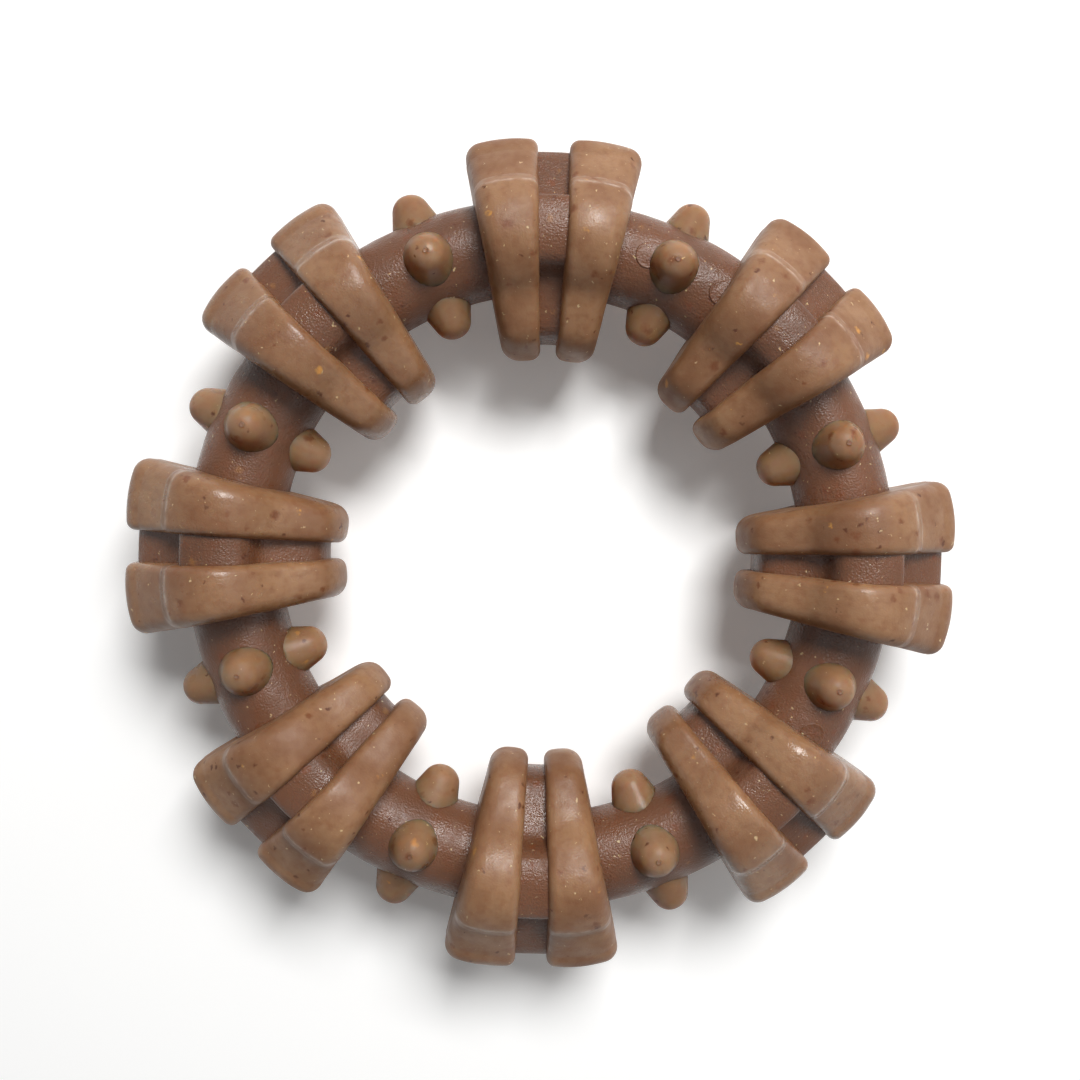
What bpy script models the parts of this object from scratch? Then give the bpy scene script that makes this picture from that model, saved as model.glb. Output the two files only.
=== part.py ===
"""Nylon chew ring, moulded in two shots.

The first shot is the core ring: a round tube with eight lobed hubs, and holes across it between
the hubs. The second shot is what a dog bites on: a pair of rib bands round each hub, and between
neighbouring pairs a nub cross, whose four nubs join through the holes. The lobes of a hub key its
two bands, so that nothing turns or comes off.

The ring lies flat about the origin: its axis is Z, and its mid-plane is Z = 0.
"""

import math

import bmesh
import bpy
from mathutils import Matrix, Vector

MM = 0.001

# The ring
RING_RADIUS = 47.7 * MM  # from the ring's axis to the middle of the tube
TUBE_DIAMETER = 14.2 * MM
PAIR_COUNT = 8  # pairs of rib bands, with a nub cross between neighbours
CLEARANCE = 0.3 * MM  # between any two pieces

# A rib band: four lobes round the tube, swept about the ring's axis
RIB_REACH = 15.8 * MM  # from the middle of the tube to the crest of a lobe
RIB_CREST_WIDTH = 13.8 * MM
RIB_ROOT_WIDTH = 18.2 * MM  # of a lobe, where it meets its neighbours
RIB_LAND = 4.0 * MM  # flat along the middle of a crest, on which the ring lies
RIB_CREST_DROP = 2.0 * MM  # fall of the crest from its land to its shoulders
RIB_SHOULDER = 1.9 * MM  # rounding
RIB_NOTCH = 1.5 * MM  # rounding between two lobes
RIB_RIM = 1.6 * MM  # rounding between a flank and the crests
RIB_ANGLE = math.radians(10.15)  # sweep of one band
GROOVE_ANGLE = math.radians(5.0)  # sweep between the two bands of a pair
RIB_DRAFT = math.radians(2.0)  # lean of the flanks, away from the mid-plane

# A hub: the core's own lobes, which show in the groove and end inside the bands
RIB_WALL = 1.8 * MM  # thickness of a band over its hub
HUB_COVER = 0.7 * MM  # thickness of a hub over the tube, at the notches between its lobes
HUB_SHOULDER = 1.1 * MM  # rounding
FLANGE_ANGLE = math.radians(5.6)  # sweep of the part of a band that closes in behind the hub

# A nub cross: four blunt cones, each seated in the tube, on two stems that cross inside it. Its
# sizes are shares of the tube's diameter, so that seats and stems keep enough of the tube about them
NUB_HEIGHT = 0.28 * TUBE_DIAMETER  # above the tube
NUB_BASE_DIAMETER = 0.49 * TUBE_DIAMETER  # where it leaves the tube
NUB_TIP_DIAMETER = 0.34 * TUBE_DIAMETER
NUB_TIP_ROUNDING = 0.14 * TUBE_DIAMETER
NUB_SEAT_DEPTH = 0.105 * TUBE_DIAMETER
UPRIGHT_STEM_DIAMETER = 0.24 * TUBE_DIAMETER
LEVEL_STEM_DIAMETER = 0.2 * TUBE_DIAMETER

# Finishes: colour and roughness
CORE_FINISH = ((0.16, 0.10, 0.075), 0.5)
RIB_FINISH = ((0.23, 0.115, 0.06), 0.38)
NUB_FINISH = ((0.23, 0.115, 0.06), 0.34)

# Facets
RING_SEGMENTS = 48
TUBE_SEGMENTS = 14
NUB_SEGMENTS = 10
BAND_STEPS = 1  # along a band's sweep
HUB_STEPS = 2  # along a hub's sweep
SHOULDER_STEPS = 2
NOTCH_STEPS = 1
HUB_SHOULDER_STEPS = 1
RIM_STEPS = 1
RIM_EDGE = math.radians(60)  # an edge sharper than this takes the rim rounding
SMOOTH_EDGE = math.radians(50)  # an edge blunter than this is shaded smooth
AXIS_MERGE = 0.01 * MM  # points this near a turned piece's axis become one

# Worked out from the sizes above
TUBE_RADIUS = TUBE_DIAMETER / 2
RIB_START = GROOVE_ANGLE / 2
RIB_END = RIB_START + RIB_ANGLE
HUB_END = RIB_END - FLANGE_ANGLE
HUB_ROOT = (TUBE_RADIUS + HUB_COVER) / math.sqrt(2)  # half the width of a hub's lobe at its root
BORE_END = HUB_END + CLEARANCE / RING_RADIUS
PAIR_PITCH = math.tau / PAIR_COUNT
SHARP = (0.0, 0)  # a corner's radius and steps where it isn't rounded
FIRST_PAIR = math.pi / 2  # the first pair lies on +Y
TUBE_MIDDLE = Matrix.Translation((RING_RADIUS, 0.0, 0.0))
NUB_STEMS = (
    ("upright", UPRIGHT_STEM_DIAMETER, TUBE_MIDDLE),
    ("level", LEVEL_STEM_DIAMETER, TUBE_MIDDLE @ Matrix.Rotation(math.pi / 2, 4, "Y")),
)

PARTS = bpy.data.collections.new("chew_ring")
CUTTERS = bpy.data.collections.new("cutters")


def clear_scene():
    for obj in list(bpy.data.objects):
        bpy.data.objects.remove(obj)
    for collection in (PARTS, CUTTERS):
        bpy.context.scene.collection.children.link(collection)


def nylon(name, finish):
    colour, roughness = finish
    material = bpy.data.materials.new(name)
    material.use_nodes = True
    shader = material.node_tree.nodes["Principled BSDF"]
    shader.inputs["Base Color"].default_value = (*colour, 1.0)
    shader.inputs["Roughness"].default_value = roughness
    shader.inputs["Metallic"].default_value = 0.0
    return material


def rounded(corners):
    """Points along corners, each (across, up, radius, steps), with an arc for each corner with steps."""
    points = []
    for i, (across, up, radius, steps) in enumerate(corners):
        corner = Vector((across, up))
        if not steps:
            points.append(corner)
            continue
        ends = corners[i - 1], corners[(i + 1) % len(corners)]
        before, after = (Vector(end[:2]) - corner for end in ends)
        half = before.angle(after) / 2
        room = [side.length / (2 if end[3] else 1) for side, end in zip((before, after), ends)]
        radius = min(radius, min(room) * math.tan(half))
        before.normalize()
        after.normalize()
        centre = corner + (before + after).normalized() * (radius / math.sin(half))
        start = corner + before * (radius / math.tan(half)) - centre
        turn = math.copysign(math.pi - 2 * half, after.cross(before))
        for step in range(steps + 1):
            points.append(centre + Matrix.Rotation(turn * step / steps, 2) @ start)
    return points


def lobed_outline(reach, crest, root, shoulder, notch, land=()):
    """Closed outline of four lobes, as (outward, up) from the tube's middle.

    A lobe runs from one shoulder over its crest to the other: reach, half the crest and half the
    root place its corners, and land holds the corners of a flat that stands proud of the crest.
    """
    lobe = [(reach, -crest, *shoulder), *land, (reach, crest, *shoulder), (root, root, *notch)]
    corners = []
    for _ in range(4):
        corners += lobe
        lobe = [(-up, across, *arc) for across, up, *arc in lobe]
    return rounded(corners)


def band_outline():
    land = RIB_LAND / 2
    return lobed_outline(
        RIB_REACH - RIB_CREST_DROP,
        RIB_CREST_WIDTH / 2,
        RIB_ROOT_WIDTH / 2,
        (RIB_SHOULDER, SHOULDER_STEPS),
        (RIB_NOTCH, NOTCH_STEPS),
        [(RIB_REACH, -land, *SHARP), (RIB_REACH, land, *SHARP)],
    )


def hub_outline(grow):
    """Outline of a hub, or of the bore for it where grow is the clearance.

    The land and the drop of its crests are those of the band, made smaller with the crest.
    """
    wall = RIB_WALL + CLEARANCE - grow
    reach = RIB_REACH - wall
    crest = RIB_CREST_WIDTH / 2 - wall
    share = crest / (RIB_CREST_WIDTH / 2)
    land = RIB_LAND / 2 * share
    return lobed_outline(
        reach - RIB_CREST_DROP * share,
        crest,
        HUB_ROOT + grow,
        (HUB_SHOULDER, HUB_SHOULDER_STEPS),
        SHARP,
        [(reach, -land, *SHARP), (reach, land, *SHARP)],
    )


def swept(name, outline, first, last, steps):
    """The solid that outline leaves as it turns about the ring's axis from first to last."""
    bm = bmesh.new()
    verts = [bm.verts.new((RING_RADIUS + across, 0.0, up)) for across, up in outline]
    face = bm.faces.new(verts)
    bmesh.ops.rotate(bm, verts=verts, matrix=Matrix.Rotation(first, 3, "Z"))
    bmesh.ops.spin(
        bm,
        geom=[*verts, *face.edges, face],
        axis=(0, 0, 1),
        cent=(0, 0, 0),
        angle=last - first,
        steps=steps,
    )
    bmesh.ops.recalc_face_normals(bm, faces=bm.faces)
    mesh = bpy.data.meshes.new(name)
    bm.to_mesh(mesh)
    bm.free()
    return bpy.data.objects.new(name, mesh)


def torus(name, radius):
    bpy.ops.mesh.primitive_torus_add(
        major_radius=RING_RADIUS,
        minor_radius=radius,
        major_segments=RING_SEGMENTS,
        minor_segments=TUBE_SEGMENTS,
    )
    obj = bpy.context.object
    obj.name = name
    obj.data.transform(Matrix.Rotation(math.pi / RING_SEGMENTS, 4, "Z"))
    for collection in list(obj.users_collection):
        collection.objects.unlink(obj)
    return obj


def dumbbell(name, stem_diameter, grow):
    """Two nubs on one stem, turned about Z, with every face moved out by grow."""
    tip = TUBE_RADIUS + NUB_HEIGHT + grow
    seat = TUBE_RADIUS - NUB_SEAT_DEPTH - grow
    tip_radius = NUB_TIP_DIAMETER / 2 + grow
    flare = (NUB_BASE_DIAMETER - NUB_TIP_DIAMETER) / 2 / NUB_HEIGHT
    seat_radius = tip_radius + (tip - seat) * flare
    stem_radius = stem_diameter / 2 + grow
    upper = rounded(
        [
            (0.0, tip, *SHARP),
            (tip_radius, tip, NUB_TIP_ROUNDING, SHOULDER_STEPS),
            (seat_radius, seat, *SHARP),
            (stem_radius, seat, *SHARP),
        ]
    )
    profile = upper + [Vector((across, -up)) for across, up in reversed(upper)]
    mesh = bpy.data.meshes.new(name)
    edges = [(i, i + 1) for i in range(len(profile) - 1)]
    mesh.from_pydata([(across, 0.0, up) for across, up in profile], edges, [])
    mesh.transform(Matrix.Rotation(math.pi / 2 / NUB_SEGMENTS, 4, "Z"))
    obj = bpy.data.objects.new(name, mesh)
    screw = obj.modifiers.new("turn", "SCREW")
    screw.steps = screw.render_steps = NUB_SEGMENTS
    screw.use_merge_vertices = True
    screw.merge_threshold = AXIS_MERGE
    screw.use_smooth_shade = False
    return obj


def cutter(obj):
    CUTTERS.objects.link(obj)
    obj.hide_render = True
    obj.display_type = "WIRE"
    return obj


def boolean(obj, operation, other):
    modifier = obj.modifiers.new(operation.lower(), "BOOLEAN")
    modifier.operation = operation
    modifier.solver = "EXACT"
    modifier.object = other


def finished(obj):
    """The mesh of obj with its modifiers applied."""
    cutter(obj)
    bpy.context.view_layer.update()
    graph = bpy.context.evaluated_depsgraph_get()
    mesh = bpy.data.meshes.new_from_object(obj.evaluated_get(graph))
    bpy.data.objects.remove(obj)
    return mesh


def ring_of(name, mesh, angles, place):
    """One object that holds a copy of mesh, set by place, at each of angles about the ring's axis."""
    bm = bmesh.new()
    for angle in angles:
        held = len(bm.verts)
        bm.from_mesh(mesh)
        turn = Matrix.Rotation(angle, 4, "Z") @ place
        bm.verts.ensure_lookup_table()
        bmesh.ops.transform(bm, matrix=turn, verts=bm.verts[held:])
    joined = bpy.data.meshes.new(name)
    bm.to_mesh(joined)
    bm.free()
    return bpy.data.objects.new(name, joined)


def add_part(name, mesh, angle, material):
    obj = bpy.data.objects.new(name, mesh)
    obj.rotation_euler.z = angle
    if not mesh.materials:
        mesh.materials.append(material)
        mesh.shade_smooth()
        mesh.set_sharp_from_angle(angle=SMOOTH_EDGE)
    PARTS.objects.link(obj)


def build_core(material, pair_angles, nub_angles):
    core = torus("core_ring", TUBE_RADIUS)
    hub = swept("hub", hub_outline(0.0), -HUB_END, HUB_END, HUB_STEPS)
    hubs = ring_of("hubs", finished(hub), pair_angles, Matrix())
    boolean(core, "UNION", cutter(hubs))
    for name, diameter, place in NUB_STEMS:
        hole = finished(dumbbell(name, diameter, CLEARANCE))
        boolean(core, "DIFFERENCE", cutter(ring_of(f"{name}_holes", hole, nub_angles, place)))
    add_part("core_ring", finished(core), 0.0, material)


def build_bands(material, pair_angles):
    tube_bore = cutter(torus("tube_bore", TUBE_RADIUS + CLEARANCE))
    hub_bore = cutter(swept("hub_bore", hub_outline(CLEARANCE), -BORE_END, BORE_END, HUB_STEPS))
    outline = band_outline()
    for side, first, last in (("left", RIB_START, RIB_END), ("right", -RIB_END, -RIB_START)):
        band = swept("band", outline, first, last, BAND_STEPS)
        middle = (first + last) / 2
        for vert in band.data.vertices:
            offset = math.atan2(vert.co.y, vert.co.x) - middle
            lean = abs(vert.co.z) * math.tan(RIB_DRAFT) / vert.co.xy.length
            vert.co = Matrix.Rotation(-lean * offset / (RIB_ANGLE / 2), 3, "Z") @ vert.co
        bevel = band.modifiers.new("rims", "BEVEL")
        bevel.width = RIB_RIM
        bevel.segments = RIM_STEPS
        bevel.limit_method = "ANGLE"
        bevel.angle_limit = RIM_EDGE
        boolean(band, "DIFFERENCE", hub_bore)
        boolean(band, "DIFFERENCE", tube_bore)
        mesh = finished(band)
        for number, angle in enumerate(pair_angles, 1):
            add_part(f"rib_band_{number}_{side}", mesh, angle, material)


def build_nub_crosses(material, nub_angles):
    upright, level = (
        ring_of(name, finished(dumbbell(name, diameter, 0.0)), [0.0], place)
        for name, diameter, place in NUB_STEMS
    )
    boolean(upright, "UNION", cutter(level))
    mesh = finished(upright)
    for number, angle in enumerate(nub_angles, 1):
        add_part(f"nub_cross_{number}", mesh, angle, material)


def main():
    clear_scene()
    pair_angles = [FIRST_PAIR - i * PAIR_PITCH for i in range(PAIR_COUNT)]
    nub_angles = [angle - PAIR_PITCH / 2 for angle in pair_angles]
    build_core(nylon("core_nylon", CORE_FINISH), pair_angles, nub_angles)
    build_bands(nylon("rib_nylon", RIB_FINISH), pair_angles)
    build_nub_crosses(nylon("nub_nylon", NUB_FINISH), nub_angles)


main()
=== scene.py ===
"""Nylon chew ring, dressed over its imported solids, in a plain white studio.

The ring is a core tube with eight lobed hubs, a pair of four-lobed rib bands round each hub, and
a cross of four blunt nubs between neighbouring pairs. Its axis is Z and its mid-plane is Z = 0.
"""

import math

import bpy
import numpy as np
from bpy.props import FloatProperty, FloatVectorProperty, IntProperty, PointerProperty
from mathutils import Matrix, Vector


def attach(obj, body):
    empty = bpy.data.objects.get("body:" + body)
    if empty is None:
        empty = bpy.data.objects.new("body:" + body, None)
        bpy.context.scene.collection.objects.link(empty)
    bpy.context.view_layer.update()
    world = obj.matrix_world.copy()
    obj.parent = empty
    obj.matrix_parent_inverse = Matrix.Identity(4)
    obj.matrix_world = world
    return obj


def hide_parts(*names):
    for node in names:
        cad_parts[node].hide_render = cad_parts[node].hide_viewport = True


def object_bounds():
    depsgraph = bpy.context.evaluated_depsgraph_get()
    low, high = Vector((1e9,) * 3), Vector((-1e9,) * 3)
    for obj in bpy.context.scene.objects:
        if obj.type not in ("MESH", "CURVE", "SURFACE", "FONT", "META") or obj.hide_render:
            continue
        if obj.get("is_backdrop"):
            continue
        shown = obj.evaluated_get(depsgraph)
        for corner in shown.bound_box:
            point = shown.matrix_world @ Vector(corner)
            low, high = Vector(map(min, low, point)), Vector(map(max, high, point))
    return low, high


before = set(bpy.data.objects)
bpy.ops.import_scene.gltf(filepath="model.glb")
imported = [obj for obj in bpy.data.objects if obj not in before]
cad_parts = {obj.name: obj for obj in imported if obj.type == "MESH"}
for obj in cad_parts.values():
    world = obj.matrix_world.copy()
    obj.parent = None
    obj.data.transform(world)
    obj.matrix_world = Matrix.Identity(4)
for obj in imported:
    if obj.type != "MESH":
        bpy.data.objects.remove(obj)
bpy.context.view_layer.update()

bl_info = {
    "name": "Nylon chew ring",
    "version": (1, 0, 0),
    "blender": (4, 5, 0),
    "location": "View3D > Sidebar > Chew ring",
    "description": "Builds a ribbed nylon chew ring and a studio to show it in",
    "category": "Object",
}

MM = 0.001
BODY = "root"
FIRST_PAIR = math.pi / 2  # the first pair lies on +Y, and the others follow clockwise

# Small forms of the mouldings
PARTING_WIDTH = 0.1 * MM  # from the top of the parting line's ridge to its foot
EASING = 1.2 * MM  # length over which an outline's normals swing round its corners
BORE_SINK = 0.4 * MM  # depth of a band's inner edge below the tube's skin
HUB_NOTCH = 0.8 * MM  # rounding between two lobes of a hub
HUB_OVERLAP = 0.8 * MM  # width of a hub that lies under each band of its pair
NUB_SEAT = 1.6 * MM  # depth of a nub's foot below the tube's skin
NUB_CROWN = 0.12 * MM  # rise of a nub's tip towards its middle
# Middle of a nub's tip, with and without the gate's scar, as (radius, height) in mm
GATE_SCAR = ((0.4, 0.0), (0.3, 0.01), (0.2, 0.01), (0.12, -0.03), (0.05, -0.05))
PLAIN_TIP = ((0.3, 0.0), (0.1, 0.0))
# A pin's mark from its middle to its edge, as (share of its radius, height in mm)
PIN_EDGE = (
    (0.02, 0.03), (0.5, 0.03), (0.84, 0.02), (0.9, 0.05),
    (0.95, 0.09), (1.0, 0.07), (1.04, 0.0), (1.08, -0.2),
)
# Places of the pins' marks in degrees: clockwise from the first pair, and outward from the tube's top
PIN_MARKS = ((17.6, 0.0), (32.4, 0.0), (121.8, 8.0))
# Handling has made some pairs glossier than others, from 0 to 1
PAIR_GLOSS = (0.2, 0.1, 0.3, 1.0, 0.3, 0.0, 0.7, 1.0)
# A shoulder is painted pale, partly for rubbing and partly as a painted highlight on its edge, where the
# outward part of its normal is near this slope
PALE_RIM_SLOPE, PALE_RIM_SPREAD = 0.75, 0.15

# How finely the shapes are drawn
BAND_SPACING, HUB_SPACING = 0.32 * MM, 0.62 * MM
FLANK_SHARES = (1.0, 0.75, 0.5, 0.25, 0.08)  # of the way from a band's rim in to its bore
RIM_STEPS, CREST_STEPS = 8, 18
TUBE_STEPS, HUB_STEPS = 20, 9
NUB_SIDES, NUB_ARC_STEPS, NUB_FLANK_STEPS, PIN_SIDES = 48, 12, 9, 40
MERGE_DISTANCE = 0.002 * MM

# Nylon, in all its finishes
NYLON_IOR = 1.53
LIGHT_REACH = (1.0, 0.42, 0.18)  # red light travels furthest in it
AMBER_SHARE = 0.25  # of amber painted where light comes through a nub
GLOSS_GAIN = 0.24  # fall in roughness on the glossiest pairs
FLOW_RADIUS = 50 * MM  # radius at which flow marks are measured round the ring

# The studio, in metres unless a name or a note says otherwise
FLOOR_HALF = 2.0
# The paper's own glow, by the distance from the middle of the ring: it ends in the white background
FLOOR_GLOW = {"From Min": 0.15, "From Max": 0.6, "To Min": 0.14, "To Max": 1.0}
SURROUND_FILL = 0.04
# A window-like softbox on the far side, a little to the right, and a weak soft box on the right:
# azimuth and height in degrees, distance, width, depth and watts
LAMPS = (
    ("window", 19, 56, 0.8, 0.36, 0.3, 7.45),
    ("side_box", 85, 50, 0.55, 0.45, 0.45, 0.42),
)
CAMERA_LENS_MM, CAMERA_SENSOR_MM, CAMERA_NEAR = 36.92, 36.0, 0.01
CAMERA_PLACE_MM, CAMERA_AIM_MM = (-3.4, 7.6, 172.5), (-0.37, 2.5, 0.0)
CAMERA_ROLL = math.radians(-1.65)
WHITE = (1.0, 1.0, 1.0, 1.0)


def linear(hex_colour):
    """Linear RGBA of an sRGB hex value."""
    parts = [int(hex_colour[i:i + 2], 16) / 255 for i in (1, 3, 5)]
    return (*[c / 12.92 if c <= 0.04045 else ((c + 0.055) / 1.055) ** 2.4 for c in parts], 1.0)


class ChewRingSizes(bpy.types.PropertyGroup):
    """Sizes of the ring's pieces"""

    ring_radius: FloatProperty(
        name="Ring radius",
        description="From the ring's axis to the middle of the tube",
        default=47.7 * MM,
        unit="LENGTH",
    )
    tube_diameter: FloatProperty(
        name="Tube", description="Diameter of the core's tube", default=14.5 * MM, unit="LENGTH"
    )
    pair_count: IntProperty(
        name="Pairs", description="Pairs of rib bands, with a nub cross between neighbours", default=8
    )
    rib_reach: FloatProperty(
        name="Rib reach",
        description="From the middle of the tube to the middle of a lobe's crest",
        default=15.5 * MM,
        unit="LENGTH",
    )
    rib_nose: FloatProperty(
        name="Rib nose",
        description="From the middle of the tube to the tip of an inward lobe",
        default=17.2 * MM,
        unit="LENGTH",
    )
    rib_crest: FloatProperty(
        name="Rib crest", description="Width of a lobe at its crest", default=13.8 * MM, unit="LENGTH"
    )
    rib_root: FloatProperty(
        name="Rib root",
        description="Width of an upper or lower lobe at its foot",
        default=16.4 * MM,
        unit="LENGTH",
    )
    rib_ledge: FloatProperty(
        name="Rib ledge",
        description="Height from the feet of the lower lobe to those of the upper",
        default=21.0 * MM,
        unit="LENGTH",
    )
    rib_arch: FloatProperty(
        name="Rib arch",
        description="Fall of a crest from its middle to its shoulders",
        default=2.6 * MM,
        unit="LENGTH",
    )
    rib_shoulder: FloatProperty(
        name="Rib shoulder", description="Rounding of a lobe's shoulders", default=0.8 * MM, unit="LENGTH"
    )
    rib_notch: FloatProperty(
        name="Rib notch", description="Rounding between two lobes", default=1.2 * MM, unit="LENGTH"
    )
    softening: FloatProperty(
        name="Inner softening",
        description="Length over which lobes and notches are smoothed towards the ring's axis",
        default=1.1 * MM,
        unit="LENGTH",
    )
    nosing: FloatProperty(
        name="Nosing",
        description="Fall of an inward lobe's crest, as a share of the arch of the others",
        default=0.9,
    )
    leaning: FloatProperty(
        name="Leaning",
        description="Fall of an upper or lower crest towards the ring's axis, as a share of its arch",
        default=1.25,
    )
    pillow: FloatProperty(
        name="Pillow",
        description="Slope at which a band's skin rises from its rims to its middle",
        default=math.radians(7.0),
        subtype="ANGLE",
        unit="ROTATION",
    )
    groove_rim: FloatProperty(
        name="Groove rim",
        description="Rounding of a band's rim beside the groove of its pair",
        default=1.5 * MM,
        unit="LENGTH",
    )
    outer_rim: FloatProperty(
        name="Outer rim",
        description="Rounding of a band's rim away from the groove",
        default=2.6 * MM,
        unit="LENGTH",
    )
    rib_angle: FloatProperty(
        name="Rib sweep",
        description="Angle that one band takes up",
        default=math.radians(10.55),
        subtype="ANGLE",
        unit="ROTATION",
    )
    groove_angle: FloatProperty(
        name="Groove sweep",
        description="Angle between the two bands of a pair",
        default=math.radians(4.3),
        subtype="ANGLE",
        unit="ROTATION",
    )
    draft: FloatProperty(
        name="Draft",
        description="Lean of a band's flanks away from the mid-plane",
        default=math.radians(1.0),
        subtype="ANGLE",
        unit="ROTATION",
    )
    hub_reach: FloatProperty(
        name="Hub reach",
        description="From the middle of the tube to the crest of a hub's lobe",
        default=13.85 * MM,
        unit="LENGTH",
    )
    hub_nose: FloatProperty(
        name="Hub nose",
        description="From the middle of the tube to the tip of a hub's inward lobe",
        default=14.8 * MM,
        unit="LENGTH",
    )
    hub_crest: FloatProperty(
        name="Hub crest", description="Width of a hub's lobe at its crest", default=9.6 * MM, unit="LENGTH"
    )
    hub_root: FloatProperty(
        name="Hub root",
        description="Width of a hub's upper or lower lobe at its foot",
        default=11.4 * MM,
        unit="LENGTH",
    )
    hub_ledge: FloatProperty(
        name="Hub ledge",
        description="Height from the feet of a hub's lower lobe to those of its upper",
        default=16.4 * MM,
        unit="LENGTH",
    )
    hub_arch: FloatProperty(
        name="Hub arch",
        description="Fall of a hub's crest from its middle to its shoulders",
        default=1.0 * MM,
        unit="LENGTH",
    )
    hub_shoulder: FloatProperty(
        name="Hub shoulder", description="Rounding of a hub's shoulders", default=0.8 * MM, unit="LENGTH"
    )
    nub_height: FloatProperty(
        name="Nub height", description="Height of a nub above the tube", default=4.4 * MM, unit="LENGTH"
    )
    nub_base: FloatProperty(
        name="Nub base", description="Diameter of a nub at the tube", default=7.4 * MM, unit="LENGTH"
    )
    nub_tip: FloatProperty(
        name="Nub tip", description="Diameter of a nub at its tip", default=4.4 * MM, unit="LENGTH"
    )
    nub_rounding: FloatProperty(
        name="Nub rounding", description="Rounding of a nub's tip", default=2.8 * MM, unit="LENGTH"
    )
    pin_mark: FloatProperty(
        name="Pin mark", description="Diameter of an ejector pin's mark", default=3.8 * MM, unit="LENGTH"
    )
    flash: FloatProperty(
        name="Parting line",
        description="Height of the line where the halves of the mould meet",
        default=0.03 * MM,
        unit="LENGTH",
    )
    unevenness: FloatProperty(
        name="Unevenness",
        description="Depth of the soft dips that shrinking leaves in the skin",
        default=0.12 * MM,
        unit="LENGTH",
    )
    dip_size: FloatProperty(
        name="Dip size", description="Width of those dips", default=7.0 * MM, unit="LENGTH"
    )


COLOUR = {"size": 4, "subtype": "COLOR"}


class ChewRingColours(bpy.types.PropertyGroup):
    """Colours of the nylon and of the studio"""

    rib: FloatVectorProperty(
        name="Ribs", description="Warm tan of the ribs", default=linear("#9B7453"), **COLOUR
    )
    rib_shade: FloatVectorProperty(
        name="Rib shade", description="Clouds in the ribs", default=linear("#7F583C"), **COLOUR
    )
    core: FloatVectorProperty(
        name="Core", description="Greyish brown of the core", default=linear("#70472D"), **COLOUR
    )
    core_shade: FloatVectorProperty(
        name="Core shade", description="Clouds in the core", default=linear("#5E3B25"), **COLOUR
    )
    nub: FloatVectorProperty(
        name="Nubs", description="Tan of the nubs", default=linear("#987C60"), **COLOUR
    )
    nub_shade: FloatVectorProperty(
        name="Nub shade", description="Clouds in the nubs", default=linear("#866649"), **COLOUR
    )
    rind: FloatVectorProperty(
        name="Rind", description="Reddish brown smears", default=linear("#6E3A1A"), **COLOUR
    )
    flake: FloatVectorProperty(
        name="Flakes", description="Orange flakes", default=linear("#CF9448"), **COLOUR
    )
    char: FloatVectorProperty(
        name="Char", description="Dark brown flecks", default=linear("#55290F"), **COLOUR
    )
    # Cream flecks; the same colour also paints the glints
    husk_and_glint: FloatVectorProperty(
        name="Husk", description="Cream flecks", default=linear("#E8CFA0"), **COLOUR
    )
    amber: FloatVectorProperty(
        name="Amber", description="Light through thin edges", default=linear("#94653E"), **COLOUR
    )
    # Pale colour of the shoulders: partly rubbing, partly a painted highlight
    rub_and_highlight: FloatVectorProperty(
        name="Bloom", description="Whitish rub along edges", default=linear("#D8C2B2"), **COLOUR
    )
    floor: FloatVectorProperty(
        name="Floor", description="Paper under the ring", default=linear("#FCFCFB"), **COLOUR
    )


def add(tree, kind, inputs=None, **settings):
    """A new node with its settings, and its inputs set to values or linked to sockets."""
    node = tree.nodes.new(kind)
    for name, value in settings.items():
        setattr(node, name, value)
    for key, value in (inputs or {}).items():
        for one in value if isinstance(value, list) else [value]:
            if isinstance(one, bpy.types.NodeSocket):
                tree.links.new(one, node.inputs[key])
            else:
                node.inputs[key].default_value = one
    return node


# Materials


def flecked(tree, colour, place, cell, share, width, fleck, strength):
    """Colour with flecks in it, one in each of a share of cells, up to width across, with soft edges."""
    cells = add(tree, "ShaderNodeTexVoronoi", {"Vector": place, "Scale": 1 / cell})
    chance = add(tree, "ShaderNodeSeparateColor", {"Color": cells.outputs["Color"]})
    kept = add(tree, "ShaderNodeMath", {0: chance.outputs["Red"], 1: share}, operation="LESS_THAN")
    radius = add(
        tree,
        "ShaderNodeMapRange",
        {"Value": chance.outputs["Green"], "To Min": 0.2 * width / cell, "To Max": 0.5 * width / cell},
    )
    heart = add(tree, "ShaderNodeMath", {0: radius.outputs[0], 1: 0.4}, operation="MULTIPLY")
    inside = add(
        tree,
        "ShaderNodeMapRange",
        {
            "Value": cells.outputs["Distance"],
            "From Min": radius.outputs[0],
            "From Max": heart.outputs[0],
            "To Max": strength,
        },
    )
    mask = add(tree, "ShaderNodeMath", {0: inside.outputs[0], 1: kept.outputs[0]}, operation="MULTIPLY")
    return add(
        tree, "ShaderNodeMix", {0: mask.outputs[0], 6: colour, 7: fleck}, data_type="RGBA"
    ).outputs[2]


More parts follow.
